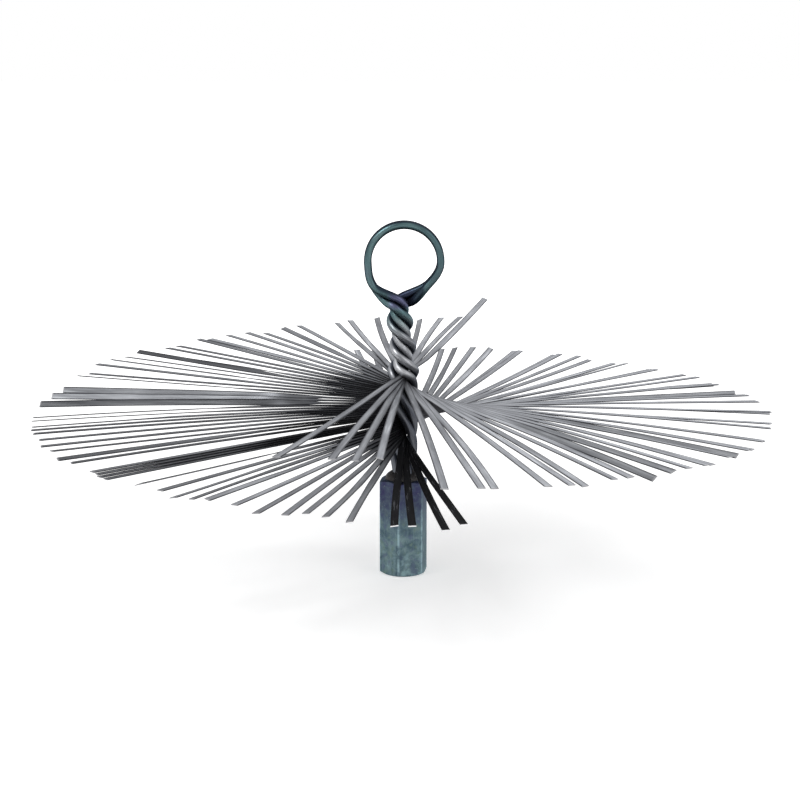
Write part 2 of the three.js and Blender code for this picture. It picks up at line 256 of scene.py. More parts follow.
def leg_top(side):
    return TWIST_TOP + CROSSING_LIFT if side > 0 else TWIST_TOP


def leg_points(side):
    count = math.ceil((leg_top(side) - STEM_END) / POINT_STEP)
    return [leg_point(mix(STEM_END, leg_top(side), i / count), side) for i in range(count + 1)]


def eye_point(angle):
    a = math.radians(angle)
    return np.array(
        [
            EYE_RADIUS * math.cos(a),
            -(WIRE_DIAMETER + WIRE_GAP) / 2,
            EYE_HEIGHT + EYE_RADIUS * math.sin(a),
        ]
    )


def branch_points(side, eye_angle):
    """Points between the end of a leg and the round part of the eye."""
    start = leg_point(leg_top(side), side)
    below = leg_point(leg_top(side) - POINT_STEP, side)
    end = eye_point(eye_angle)
    span = np.linalg.norm(end - start)
    low, high = CROSSING_HANDLES if side > 0 else DIRECT_HANDLES
    leave = (start - below) / np.linalg.norm(start - below) * span * low
    a = math.radians(eye_angle)
    arrive = np.array([math.sin(a), 0, -math.cos(a)]) * -side * span * high
    corners = [start, start + leave, end + arrive, end]
    count = math.ceil(span / POINT_STEP)
    made = []
    for i in range(1, count):
        t = i / count
        weights = [(1 - t) ** 3, 3 * t * (1 - t) ** 2, 3 * t * t * (1 - t), t**3]
        made.append(sum(w * c for w, c in zip(weights, corners)))
    return made


def wire_points():
    """Points of one whole wire: up one leg, round the eye and down the other leg."""
    count = round((CROSSING_LEG_ANGLE - DIRECT_LEG_ANGLE) / EYE_POINT_ANGLE)
    ring = [eye_point(mix(CROSSING_LEG_ANGLE, DIRECT_LEG_ANGLE, i / count)) for i in range(count + 1)]
    return np.array(
        leg_points(1)
        + branch_points(1, CROSSING_LEG_ANGLE)
        + ring
        + branch_points(-1, DIRECT_LEG_ANGLE)[::-1]
        + leg_points(-1)[::-1]
    )


def smooth_path(points, cuts):
    """Points of a smooth curve through a row of points, with a number of cuts in each span."""
    padded = np.vstack([2 * points[0] - points[1], points, 2 * points[-1] - points[-2]])
    made = []
    for i in range(1, len(padded) - 2):
        a, b, c, d = padded[i - 1 : i + 3]
        for k in range(cuts):
            t = k / cuts
            made.append(
                0.5
                * (
                    2 * b
                    + (c - a) * t
                    + (2 * a - 5 * b + 4 * c - d) * t * t
                    + (3 * b - a - 3 * c + d) * t**3
                )
            )
    made.append(points[-1])
    return np.array(made)


def lean(z):
    """Sideways lean of the wires at a height."""
    low, high = NECK_LEAN_HEIGHTS
    neck = ease(0, NECK_LEAN, (z - low) / (high - low))
    low, high = EYE_LEAN_HEIGHTS
    return ease(neck, EYE_LEAN, (z - low) / (high - low))


def new_piece(name, verts, faces, stored, material, node, sharp):
    """Mesh piece from points in millimetres, with named values on its points."""
    mesh = bpy.data.meshes.new(name)
    mesh.from_pydata((np.asarray(verts) * MM).tolist(), [], faces)
    for key, values in stored.items():
        values = np.asarray(values, dtype=np.float32)
        if values.ndim == 1:
            layer = mesh.attributes.new(key, "FLOAT", "POINT")
            layer.data.foreach_set("value", values)
        else:
            layer = mesh.attributes.new(key, "FLOAT_VECTOR", "POINT")
            layer.data.foreach_set("vector", values.ravel())
    mesh.polygons.foreach_set("use_smooth", [True] * len(mesh.polygons))
    mesh.set_sharp_from_angle(angle=math.radians(sharp))
    mesh.update()
    piece = bpy.data.objects.new(name, mesh)
    bpy.context.scene.collection.objects.link(piece)
    piece.data.materials.append(material)
    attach(piece, "root")
    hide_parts(node)


def loops(rows, sides):
    """Faces between rows of points, each row one closed loop, with the first and last row capped."""
    faces = []
    for r in range(rows - 1):
        for s in range(sides):
            a, b = r * sides + s, r * sides + (s + 1) % sides
            faces.append((a, b, b + sides, a + sides))
    faces.append(tuple(range(sides))[::-1])
    faces.append(tuple(range((rows - 1) * sides, rows * sides)))
    return faces


# Materials


class Net:
    """Node tree of a material or of the world."""

    def __init__(self, owner):
        owner.use_nodes = True
        self.owner = owner
        self.tree = owner.node_tree
        self.tree.nodes.clear()

    def put(self, socket, value):
        if isinstance(value, bpy.types.NodeSocket):
            self.tree.links.new(value, socket)
        elif isinstance(value, (tuple, list)) and len(value) == 3 and socket.type == "RGBA":
            socket.default_value = (*value, 1)
        else:
            socket.default_value = value

    def attribute(self, name, output="Fac"):
        node = self.tree.nodes.new("ShaderNodeAttribute")
        node.attribute_name = name
        return node.outputs[output]

    def place(self):
        return self.tree.nodes.new("ShaderNodeTexCoord").outputs["Object"]

    def math(self, operation, a, b=0.0):
        node = self.tree.nodes.new("ShaderNodeMath")
        node.operation = operation
        self.put(node.inputs[0], a)
        self.put(node.inputs[1], b)
        return node.outputs[0]

    def scaled(self, vector, scale):
        node = self.tree.nodes.new("ShaderNodeVectorMath")
        node.operation = "MULTIPLY"
        self.put(node.inputs[0], vector)
        self.put(node.inputs[1], scale)
        return node.outputs[0]

    def shifted(self, vector, amount):
        node = self.tree.nodes.new("ShaderNodeVectorMath")
        node.operation = "ADD"
        self.put(node.inputs[0], vector)
        self.put(node.inputs[1], amount)
        return node.outputs[0]

    def split(self, vector):
        node = self.tree.nodes.new("ShaderNodeSeparateXYZ")
        self.put(node.inputs[0], vector)
        return node.outputs

    def noise(self, vector, scale=1.0, detail=3.0, roughness=0.55, distortion=0.0):
        node = self.tree.nodes.new("ShaderNodeTexNoise")
        self.put(node.inputs["Vector"], vector)
        node.inputs["Scale"].default_value = scale
        node.inputs["Detail"].default_value = detail
        node.inputs["Roughness"].default_value = roughness
        node.inputs["Distortion"].default_value = distortion
        return node.outputs["Fac"]

    def range(self, value, low, high, to_low=0.0, to_high=1.0):
        node = self.tree.nodes.new("ShaderNodeMapRange")
        node.interpolation_type = "SMOOTHSTEP"
        self.put(node.inputs["Value"], value)
        node.inputs["From Min"].default_value = low
        node.inputs["From Max"].default_value = high
        node.inputs["To Min"].default_value = to_low
        node.inputs["To Max"].default_value = to_high
        return node.outputs["Result"]

    def ramp(self, value, stops):
        node = self.tree.nodes.new("ShaderNodeValToRGB")
        self.put(node.inputs["Fac"], value)
        elements = node.color_ramp.elements
        while len(elements) < len(stops):
            elements.new(0.5)
        for element, (place, colour) in zip(elements, stops):
            element.position = place
            element.color = (*colour, 1)
        return node.outputs["Color"]

    def blend(self, share, a, b, kind="MIX"):
        node = self.tree.nodes.new("ShaderNodeMix")
        node.data_type = "RGBA"
        node.blend_type = kind
        self.put(node.inputs[0], share)
        self.put(node.inputs[6], a)
        self.put(node.inputs[7], b)
        return node.outputs[2]

    def bump(self, height, distance, strength, under=None):
        node = self.tree.nodes.new("ShaderNodeBump")
        node.inputs["Strength"].default_value = strength
        node.inputs["Distance"].default_value = distance
        self.put(node.inputs["Height"], height)
        if under is not None:
            self.put(node.inputs["Normal"], under)
        return node.outputs["Normal"]

    def grey(self, value):
        node = self.tree.nodes.new("ShaderNodeCombineColor")
        for socket in node.inputs[:3]:
            self.put(socket, value)
        return node.outputs[0]

    def seen(self):
        """1 for a ray that is seen itself, directly, in a reflection or through a surface."""
        path = self.tree.nodes.new("ShaderNodeLightPath")
        seen = self.math("MAXIMUM", path.outputs["Is Camera Ray"], path.outputs["Is Glossy Ray"])
        return self.math("MAXIMUM", seen, path.outputs["Is Transmission Ray"])

    def metal(self, colour, roughness, normal, metallic, edge_tint=(1, 1, 1)):
        shader = self.tree.nodes.new("ShaderNodeBsdfPrincipled")
        out = self.tree.nodes.new("ShaderNodeOutputMaterial")
        self.put(shader.inputs["Base Color"], colour)
        self.put(shader.inputs["Roughness"], roughness)
        self.put(shader.inputs["Normal"], normal)
        shader.inputs["Metallic"].default_value = metallic
        self.put(shader.inputs["Specular Tint"], edge_tint)
        self.tree.links.new(shader.outputs[0], out.inputs["Surface"])
        return self.owner


def new_net(name):
    return Net(bpy.data.materials.new(name))


# Colours of the steel strips. Stops are places on a noise and their colours.
STEEL_STOPS = [
    (0.3, (0.066, 0.068, 0.074)), (0.5, (0.158, 0.163, 0.174)), (0.7, (0.32, 0.33, 0.345)),
]
STEEL_STAIN = (0.06, 0.062, 0.068)
# Painted shade: a dark rim along both edges of each strip.
SLIT_EDGE_SHADE = (0.02, 0.02, 0.024)
# Painted shade on arms that lie in shadow: near the root on the left arms, all over on the lowest arms.
SHADED_ARM_COLOUR = (0.008, 0.008, 0.010)
DULL_CUT, BRIGHT_CUT = (0.3, 0.3, 0.31), (0.85, 0.85, 0.86)
TINE_EDGE_TINT = (0.72, 0.73, 0.76)
# Darker edge tint for the arms with painted shade.
SHADED_ARM_EDGE_TINT = (0.12, 0.12, 0.13)
# Metres from the strip's middle line, and from its end, over which the painted edge shade and the cut
# come in.
SLIT_PLACES = (0.00094, 0.0014)
SLIT_RAGGED = 0.0003
CUT_PLACES = (0.0008, 0.0001)
STRIP_APART = 37.0

# Colours of the wires.
WIRE_STOPS = [
    (0.3, (0.034, 0.062, 0.070)), (0.5, (0.075, 0.13, 0.138)), (0.72, (0.165, 0.25, 0.25)),
]
WIRE_BRUISE = (0.085, 0.095, 0.12)
TWIST_GREYS = (0.2, 0.2, 0.215), (0.44, 0.44, 0.46)
CROSSING_VIOLET = (0.082, 0.076, 0.15)
EYE_SHADE = (0.03, 0.05, 0.062)
GROOVE_SHADE = (0.014, 0.020, 0.034)
WIRE_EDGE_TINT = (0.3, 0.34, 0.4)
GROOVE_EDGE_TINT = (0.06, 0.07, 0.11)
# Heights, and places across, in metres. Each change starts at the first and is full at the second.
TWIST_GREY_HEIGHTS = (0.110, 0.098)
CROSSING_LOW_HEIGHTS = (0.110, 0.1128)
CROSSING_HIGH_HEIGHTS = (0.1205, 0.1165)
CROSSING_MIDDLE = 0.0006
CROSSING_PLACES = (0.0068, 0.0036)
EYE_SHADE_PLACES = (0.002, 0.014)
EYE_SHADE_HEIGHTS = (0.112, 0.122)
# Heights over which painted shade comes in on the stem among and below the tines.
STEM_SHADE_HEIGHTS = (0.0865, 0.0805)

# Colours of the coupling and the weld.
PLATE_STOPS = [
    (0.32, (0.06, 0.10, 0.125)), (0.5, (0.115, 0.18, 0.205)), (0.68, (0.20, 0.29, 0.30)),
]
PLATE_GREEN, PLATE_BLUE, PLATE_PALE = (0.16, 0.235, 0.19), (0.10, 0.12, 0.21), (0.22, 0.33, 0.36)
# Painted shade for the coupling's top, where the tines shade it, and the colour of its specks.
PLATE_TOP_SHADE, PLATE_SPECK = (0.028, 0.022, 0.075), (0.33, 0.38, 0.33)
PLATE_WORN, PLATE_RUBBED = (0.33, 0.50, 0.53), (0.38, 0.55, 0.60)
PLATE_EDGE_TINT = (0.45, 0.52, 0.58)
HUE_SHIFT = (0.3, 0.1, 0.2)
TOP_SHADE_HEIGHTS = (0.016, 0.034)
WORN_HEIGHTS = (0.017, 0.004)
RUBBED_HEIGHTS = (0.034, 0.022)
WELD_STOPS = [
    (0.35, (0.025, 0.024, 0.026)), (0.55, (0.075, 0.07, 0.07)), (0.7, (0.17, 0.15, 0.14)),
]


def tine_steel():
    """Rolled strip: streaks along it, painted shade along its slit edges and on arms in shadow, bright
    sheared ends.
    """
    net = new_net("tine_spring_steel")
    lie = net.attribute("lie", "Vector")
    tone = net.attribute("tone")
    # The stored scale is the painted shade of each arm.
    scale = net.attribute("scale")
    tip = net.attribute("tip")
    apart = net.math("MULTIPLY", tone, STRIP_APART)
    grain = net.noise(net.shifted(net.scaled(lie, (55, 5200, 3)), apart), detail=4, roughness=0.7)
    smear = net.noise(net.shifted(net.scaled(lie, (45, 700, 3)), apart), detail=3)
    patch = net.noise(net.shifted(net.scaled(lie, (26, 120, 1)), apart), detail=2)
    colour = net.ramp(
        net.math("ADD", net.math("MULTIPLY", grain, 0.45), net.math("MULTIPLY", smear, 0.55)),
        STEEL_STOPS,
    )
    colour = net.blend(net.range(patch, 0.5, 0.8, 0, 0.6), colour, STEEL_STAIN)
    # Painted light: each arm's brightness, darker on arms in shade and brighter on arms that catch
    # reflections.
    colour = net.blend(1.0, colour, net.grey(tone), "MULTIPLY")
    off_middle = net.math("ABSOLUTE", net.split(lie)[1])
    ragged = net.math("ADD", off_middle, net.math("MULTIPLY", patch, SLIT_RAGGED))
    # Painted shade along the strip's edges.
    colour = net.blend(net.range(ragged, *SLIT_PLACES, 0, 0.92), colour, SLIT_EDGE_SHADE)
    # Painted shade on arms in shadow, made ragged by the smear.
    arm_shade = net.math("MULTIPLY", scale, net.range(smear, 0.72, 0.55, 0.72, 0.97))
    colour = net.blend(arm_shade, colour, SHADED_ARM_COLOUR)
    cut = net.range(tip, *CUT_PLACES, 0, 0.9)
    colour = net.blend(cut, colour, net.blend(scale, DULL_CUT, BRIGHT_CUT))
    rough = net.range(grain, 0.3, 0.7, 0.36, 0.56)
    normal = net.bump(grain, 0.00002, 0.5)
    normal = net.bump(smear, 0.00008, 0.35, normal)
    edge = net.blend(arm_shade, TINE_EDGE_TINT, SHADED_ARM_EDGE_TINT)
    return net.metal(colour, rough, normal, 0.85, edge)


def stem_wire():
    """Drawn wire: streaks along it, painted shade in the grooves of the stem, round the eye's rims and
    on the stem among and below the tines.
    """
    net = new_net("stem_drawn_wire")
    skin = net.attribute("skin", "Vector")
    crown = net.attribute("crown")
    place = net.place()
    across, height = net.split(place)[0], net.split(place)[2]
    lines = net.noise(net.scaled(skin, (60, 3600, 3600)), detail=4, roughness=0.65)
    smear = net.noise(net.scaled(skin, (90, 520, 520)), detail=4)
    patch = net.noise(place, scale=190, detail=3)
    colour = net.ramp(
        net.math("ADD", net.math("MULTIPLY", lines, 0.35), net.math("MULTIPLY", smear, 0.65)),
        WIRE_STOPS,
    )
    colour = net.blend(net.range(patch, 0.5, 0.75, 0, 0.5), colour, WIRE_BRUISE)
    grey = net.blend(net.range(smear, 0.35, 0.65), *TWIST_GREYS)
    colour = net.blend(net.range(height, *TWIST_GREY_HEIGHTS, 0, 0.88), colour, grey)
    low, high = net.range(height, *CROSSING_LOW_HEIGHTS), net.range(height, *CROSSING_HIGH_HEIGHTS)
    beside = net.math("ABSOLUTE", net.math("ADD", across, CROSSING_MIDDLE))
    middle = net.range(beside, *CROSSING_PLACES)
    crossing = net.math("MULTIPLY", net.math("MULTIPLY", low, high), middle)
    colour = net.blend(net.math("MULTIPLY", crossing, 0.8), colour, CROSSING_VIOLET)
    right, risen = net.range(across, *EYE_SHADE_PLACES), net.range(height, *EYE_SHADE_HEIGHTS)
    shaded = net.math("MULTIPLY", right, risen)
    colour = net.blend(net.math("MULTIPLY", shaded, 0.4), colour, EYE_SHADE)
    # Painted shade: dark in the grooves between the wires, round the eye's rims, and on the stem among
    # and below the tines, with a darker edge tint there.
    uneven = net.math("ADD", crown, net.math("MULTIPLY", net.math("SUBTRACT", smear, 0.5), 0.5))
    shade = net.range(uneven, 0.82, 0.3, 0, 0.86)
    shade = net.math("MAXIMUM", shade, net.range(height, *STEM_SHADE_HEIGHTS, 0, 0.68))
    colour = net.blend(shade, colour, GROOVE_SHADE)
    rough = net.range(smear, 0.3, 0.7, 0.24, 0.46)
    normal = net.bump(lines, 0.00003, 0.4)
    normal = net.bump(smear, 0.0001, 0.3, normal)
    edge = net.blend(shade, WIRE_EDGE_TINT, GROOVE_EDGE_TINT)
    return net.metal(colour, rough, normal, 0.85, edge)


def coupling_plate():
    """Dull plate: mottled, with painted shade towards its top under the tines, worn along the hexagon's
    edges and low on its flats.
    """
    net = new_net("coupling_mottled_plate")
    place = net.place()
    edge = net.attribute("edge")
    height = net.split(place)[2]
    mottle = net.noise(place, scale=260, detail=5, roughness=0.65, distortion=0.4)
    fine = net.noise(place, scale=1500, detail=3, roughness=0.6)
    drawn = net.noise(net.scaled(place, (900, 900, 40)), detail=3)
    hue = net.noise(net.shifted(place, HUE_SHIFT), scale=330, detail=3)
    colour = net.ramp(mottle, PLATE_STOPS)
    colour = net.blend(net.range(hue, 0.52, 0.66, 0, 0.55), colour, PLATE_GREEN)
    colour = net.blend(net.range(hue, 0.46, 0.34, 0, 0.5), colour, PLATE_BLUE)
    colour = net.blend(net.range(drawn, 0.45, 0.75, 0, 0.35), colour, PLATE_PALE)
    uneven = net.range(mottle, 0.7, 0.3, 0.7, 1)
    # Painted shade: darker towards the top, where the tines shade the coupling.
    top_shade = net.math("MULTIPLY", net.range(height, *TOP_SHADE_HEIGHTS), uneven)
    colour = net.blend(net.math("MULTIPLY", top_shade, 0.92), colour, PLATE_TOP_SHADE)
    colour = net.blend(net.range(fine, 0.62, 0.75, 0, 0.5), colour, PLATE_SPECK)
    low = net.range(height, *WORN_HEIGHTS)
    worn = net.math("MULTIPLY", net.range(net.noise(place, scale=340, detail=4), 0.5, 0.7), low)
    colour = net.blend(net.math("MULTIPLY", worn, 0.5), colour, PLATE_WORN)
    rubbed = net.math("MULTIPLY", edge, net.range(mottle, 0.36, 0.56, 0.15, 0.85))
    rubbed = net.math("MULTIPLY", rubbed, net.range(height, *RUBBED_HEIGHTS, 0.25, 1))
    colour = net.blend(rubbed, colour, PLATE_RUBBED)
    rough = net.range(mottle, 0.3, 0.7, 0.36, 0.55)
    normal = net.bump(fine, 0.00004, 0.5)
    normal = net.bump(mottle, 0.0002, 0.35, normal)
    return net.metal(colour, rough, normal, 0.75, PLATE_EDGE_TINT)


def weld_metal():
    """Dark, rough and mottled bead."""
    net = new_net("weld_scaled_bead")
    place = net.place()
    mottle = net.noise(place, scale=420, detail=5, roughness=0.7)
    colour = net.ramp(mottle, WELD_STOPS)
    rough = net.range(mottle, 0.3, 0.7, 0.5, 0.8)
    return net.metal(colour, rough, net.bump(mottle, 0.0003, 0.5), 0.7)


STEEL = tine_steel()
WIRE = stem_wire()
PLATE = coupling_plate()
WELD = weld_metal()


# Tines


def arms_of(bundles, turned):
    """Root azimuth, azimuth outside the stem and the bundle's middle azimuth of each arm of a side."""
    arms, first = [], 0
    for count in bundles:
        own = TINE_AZIMUTHS[first : first + count]
        first += count
        middle = sum(own) / count
        arms += [(a + turned, mix(a, middle, BUNDLE_LEAN) + turned, middle) for a in own]
    return arms


LEFT_ARMS = arms_of(LEFT_BUNDLES, 0)
RIGHT_ARMS = arms_of(RIGHT_BUNDLES, HALF_DEGREES)


def least_turn(arms, index):
    """Angle from an arm to the nearer of its neighbours, in radians."""
    near = arms[max(index - 1, 0) : index] + arms[index + 1 : index + 2]
    return math.radians(min(abs(arm[1] - arms[index][1]) for arm in near))


def clear_share(arms, index):
    """Share of the reach from which an arm is clear of its neighbours and may bend."""
    radius = TINE_WIDTH / least_turn(arms, index)
    return next((share for share in STATION_SHARES if share * SWEEP_RADIUS >= radius), 1)


def outward_at(azimuth):
    return np.array([math.cos(math.radians(azimuth)), math.sin(math.radians(azimuth)), 0])


def bevelled_corners(half, thick, cut):
    """Corners, in order round it, of a flat section with bevelled edges."""
    return [
        (half, thick - cut),
        (half - cut, thick),
        (cut - half, thick),
        (-half, thick - cut),
        (-half, cut - thick),
        (cut - half, -thick),
        (half - cut, -thick),
        (half, cut - thick),
    ]


TINE_CORNERS = bevelled_corners(TINE_WIDTH / 2, TINE_THICKNESS / 2, EDGE_BEVEL)


def tine_section(index, side, share):
    """Points of a tine's section on one arm, where each lies on the strip, and the way to the tip.

    Side is 1 on the left arm and -1 on the right arm.
    """
    arms = LEFT_ARMS if side > 0 else RIGHT_ARMS
    root, azimuth, bundle = arms[index]
    inner = min(share, STATION_SHARES[0])
    heading = mix(root, azimuth, min((share - inner) / (STATION_SHARES[1] - STATION_SHARES[0]), 1))
    outward = outward_at(heading)
    sideways = outward_at(heading + QUARTER_DEGREES)
    series = 1 if side > 0 else 2
    turn_share = (bundle - TOP_TINE_AZIMUTH) / (TINE_AZIMUTHS[-1] - TOP_TINE_AZIMUTH)
    reach = SWEEP_RADIUS * (1 - STRAY_REACH * (1 + stray(index, REACH_SERIES + series)))
    reach *= along(LEFT_REACHES, turn_share) if side > 0 else 1
    bound = clear_share(arms, index)
    loose = (share - bound) / (1 - bound) if share > bound else 0
    level = side < 0 and index < LEVEL_TOP_TINES
    fan = 0 if level else along(LEFT_RISES if side > 0 else RIGHT_RISES, turn_share)
    lift = LEFT_LIFTS.get(index + 1, 0) if side > 0 else 0
    bent = (stray(index, series) * STRAY_RISE + lift) * loose
    rise = (fan * share**RISE_BEND_POWER + bent) * reach
    sway = stray(index, SWAY_SERIES + series) * STRAY_SWAY * least_turn(arms, index)
    sway = sway * reach * loose * loose
    tilt = (LEFT_TILTS if side > 0 else RIGHT_TILTS).get(index + 1, 0)
    full_roll = math.radians(stray(index, ROLL_SERIES + series) ** 3 * MOST_ROLL - side * tilt)
    roll = full_roll * min(1, ROLL_HASTE * loose)
    middle = outward_at(root) * inner * reach + outward_at(azimuth) * (share - inner) * reach
    middle = middle + outward_at(azimuth + QUARTER_DEGREES) * sway
    middle[2] = STACK_TOP - index * TINE_PITCH + rise
    up = np.array([0.0, 0.0, 1.0])
    across = sideways * math.cos(roll) + np.cross(outward, sideways) * math.sin(roll)
    up = up * math.cos(roll) + np.cross(outward, up) * math.sin(roll)
    skew = stray(index, SHEAR_SERIES + series) * SHEAR_SKEW if share == 1 else 0
    points = [middle + across * a + outward * a * skew + up * u for a, u in TINE_CORNERS]
    spots = [(side * share * reach * MM, a * MM, u * MM) for a, u in TINE_CORNERS]
    return points, spots, reach * (1 - share) * MM


# Brightness of the right arms, and how much it scatters.
# The raised level of the right arms is painted light.
RIGHT_TONE, RIGHT_TONE_SPREAD = 1.5, 0.25
# Brightness of some left arms, by number from the top, and of the rest up to a number.
# The listed and banded levels are painted shade on the darker arms and painted reflection on the
# brighter ones; only the scatter is the steel's own tone.
LEFT_TONES = {
    16: 0.8, 18: 0.55, 19: 1.3, 20: 1.2, 24: 1.3, 25: 1.3, 26: 1.05, 27: 0.5, 28: 0.8, 30: 0.42,
    37: 0.8, 38: 0.65, 39: 0.55, 40: 0.7, 44: 0.6, 45: 1.15, 47: 0.95,
}
LEFT_LEVELS = [(13, 1.4), (23, 0.95), (42, 0.62), (55, 1.4)]
LEFT_TONE_SPREAD = 0.3
# Shares of the reach, from the root, that the painted shade covers on some left arms, by number, and on
# the rest.
LEFT_SHADE_REACHES = {34: 0.4, 35: 0.42, 36: 0.45, 37: 0.5, 38: 0.52, 39: 0.52, 40: 0.48, 41: 0.4, 42: 0.36}
USUAL_SHADE_REACH = 0.33
SHADE_BLEND = 0.22
# Strength of the painted shade on the listed arms, on the rest up to a number, and on the lowest arms,
# shaded all over.
LISTED_STRENGTH = 0.9
SHADE_STRENGTHS = [(13, 0.3), (55, 0.66)]
FULLY_SHADED, FULL_STRENGTH = (52, 53, 54, 55), 0.95


def level_at(levels, number):
    return next(level for last, level in levels if number <= last)


def arm_finish(index, side, share):
    """Brightness of an arm, and its painted shade at a share of its reach."""
    if side < 0:
        return RIGHT_TONE + RIGHT_TONE_SPREAD * stray(index, RIGHT_TONE_SERIES), 0.0
    number = index + 1
    usual = level_at(LEFT_LEVELS, number) + LEFT_TONE_SPREAD * stray(index, LEFT_TONE_SERIES)
    tone = LEFT_TONES.get(number, usual)
    if number in FULLY_SHADED:
        return tone, FULL_STRENGTH
    covered = LEFT_SHADE_REACHES.get(number, USUAL_SHADE_REACH)
    strength = LISTED_STRENGTH if number in LEFT_SHADE_REACHES else level_at(SHADE_STRENGTHS, number)
    return tone, strength * ease(1, 0, (share - covered) / SHADE_BLEND + 0.5)


def tine_piece(index):
    """One strip, from the tip of its right arm through the stem to the tip of its left arm."""
    shares = [mix(ARM_START, 1, i / (ARM_STATIONS - 1)) for i in range(ARM_STATIONS)]
    points, spots, tips, tones, arm_shades = [], [], [], [], []
    for side, row, order in [(-1, shares[::-1], RIGHT_CORNER_ORDER), (1, shares, range(TINE_SIDES))]:
        for share in row:
            section, lies, tip = tine_section(index, side, share)
            # Tone of the arm, and the painted shade on it at this share.
            tone, scale = arm_finish(index, side, share)
            points += [section[k] for k in order]
            spots += [lies[k] for k in order]
            tips += [tip] * TINE_SIDES
            tones += [tone] * TINE_SIDES
            arm_shades += [scale] * TINE_SIDES
    faces = loops(2 * ARM_STATIONS, TINE_SIDES)
    stored = {"lie": np.array(spots), "tip": tips, "tone": tones, "scale": arm_shades}
    name, node = "strip_%02d" % (index + 1), "tine_%02d" % (index + 1)
    new_piece(name, points, faces, stored, STEEL, node, TINE_SHARP)


for index in range(TINE_COUNT):
    tine_piece(index)


# Wires


def wire_piece(name, node, turned):
    """One wire as a tube, turned half round the stem's axis or not."""
    path = smooth_path(wire_points(), WIRE_CUTS)
    if turned:
        path = path * np.array([-1, -1, 1])
    leans = [lean(z) for z in path[:, 2]]
    path[:, 0] += leans
    directions = np.gradient(path, axis=0)
    directions /= np.linalg.norm(directions, axis=1)[:, None]
    reference = np.cross(directions[0], [1, 0, 0])
    reference /= np.linalg.norm(reference)
    points, skin, crown = [], [], []
    travelled = 0.0
    for i, (centre, direction) in enumerate(zip(path, directions)):
        eye_share = (centre[2] - EYE_START) / EYE_BLEND
        radius = ease(TWISTED_RADIUS, WIRE_RADIUS, eye_share)
        if i:
            travelled += np.linalg.norm(centre - path[i - 1])
            reference = reference - direction * np.dot(reference, direction)
            reference /= np.linalg.norm(reference)
        other = np.cross(direction, reference)
        off_axis = np.array([centre[0] - leans[i], centre[1], 0])
        outward = off_axis / max(np.linalg.norm(off_axis), NEAR_AXIS)
        for k in range(WIRE_SIDES):
            a = k / WIRE_SIDES * FULL_TURN
            normal = reference * math.cos(a) + other * math.sin(a)
            points.append(centre + normal * radius)
            groove = max(np.dot(normal, outward), 0) ** GROOVE_POWER
            crown.append(ease(groove, abs(normal[1]) ** RIM_POWER, eye_share))
            round_it = (math.cos(a) * WIRE_RADIUS * MM, math.sin(a) * WIRE_RADIUS * MM)
            skin.append((travelled * MM, *round_it))
    faces = loops(len(path), WIRE_SIDES)
    stored = {"skin": np.array(skin), "crown": crown}
    new_piece(name, points, faces, stored, WIRE, node, WIRE_SHARP)


wire_piece("drawn_wire_front", "eye_wire_front", False)
wire_piece("drawn_wire_rear", "eye_wire_rear", True)


# Coupling and weld


def off_corner(angle):
    """Angle in degrees to the nearest corner of the hexagon."""
    return abs((angle + HEX_HALF) % HEX_STEP - HEX_HALF)


def hexagon_radius(angle):
    """Radius of the rounded hexagon at an angle in degrees from one of its corners."""
    slant = math.cos(math.radians(HEX_HALF))
    centre = CORNER_RADIUS - CORNER_ROUND / slant
    off = off_corner(angle)
    tangent = math.degrees(math.atan2(CORNER_ROUND / 2, centre + CORNER_ROUND * slant))
    if off > tangent:
        return ACROSS_FLATS / 2 / math.cos(math.radians(HEX_HALF - off))
    a = math.radians(off)
    return centre * math.cos(a) + math.sqrt(CORNER_ROUND**2 - (centre * math.sin(a)) ** 2)


def thread_radius(angle, z):
    """Radius of the bore with its thread, with a flat crest and root and sloping flanks."""
    place = (z / THREAD_PITCH - angle / FULL_DEGREES) % 1
    rise = min(max((abs(place - 0.5) * 2 - THREAD_FLAT) / THREAD_FLANK, 0), 1)
    cone = MOUTH_DIAMETER / 2 - min(z, COUPLING_LENGTH - z)
    return max(mix(THREAD_DIAMETER / 2, BORE_DIAMETER / 2, rise), cone)


def coupling_piece():
    """Hexagon with chamfered ends and a threaded bore, in rows up its outside and down its inside."""
    face = FACE_DIAMETER / 2
    slope = math.tan(math.radians(CHAMFER_ANGLE))
    chamfer = (CORNER_RADIUS - face) * slope
    lower_heights = [chamfer * (i / CHAMFER_ROWS) for i in range(CHAMFER_ROWS + 1)]
    top = COUPLING_LENGTH - chamfer
    heights = lower_heights + [mix(chamfer, top, i / FLAT_ROWS) for i in range(1, FLAT_ROWS)]
    heights += [COUPLING_LENGTH - h for h in reversed(lower_heights)]
    angles = [i / ROUND_STEPS * FULL_DEGREES for i in range(ROUND_STEPS)]
    rows = []
    for z in heights:
        cone = face + min(z, COUPLING_LENGTH - z) / slope
        rows.append([(min(hexagon_radius(angle), cone), z) for angle in angles])
    steps = round(COUPLING_LENGTH / THREAD_PITCH * THREAD_ROWS)
    for k in range(steps, -1, -1):
        z = COUPLING_LENGTH * k / steps
        rows.append([(thread_radius(angle, z), z) for angle in angles])
    turn = math.radians(COUPLING_TURN - HEX_STEP)
    points, edges = [], []
    for number, row in enumerate(rows):
        for i, (radius, z) in enumerate(row):
            a = i / ROUND_STEPS * FULL_TURN + turn
            points.append((radius * math.cos(a), radius * math.sin(a), z))
            worn = max(0, 1 - off_corner(angles[i]) / EDGE_WEAR_ANGLE)
            edges.append(worn if number < len(heights) else 0)
    faces = []
    for r in range(len(rows)):
        lower, upper = r * ROUND_STEPS, (r + 1) % len(rows) * ROUND_STEPS
        for i in range(ROUND_STEPS):
            j = (i + 1) % ROUND_STEPS
            faces.append((lower + i, lower + j, upper + j, upper + i))
    name, slot, node = "coupling_threaded", "coupling_plate", "hex_coupling"
    new_piece(name, points, faces, {"edge": edges}, PLATE, node, COUPLING_SHARP)


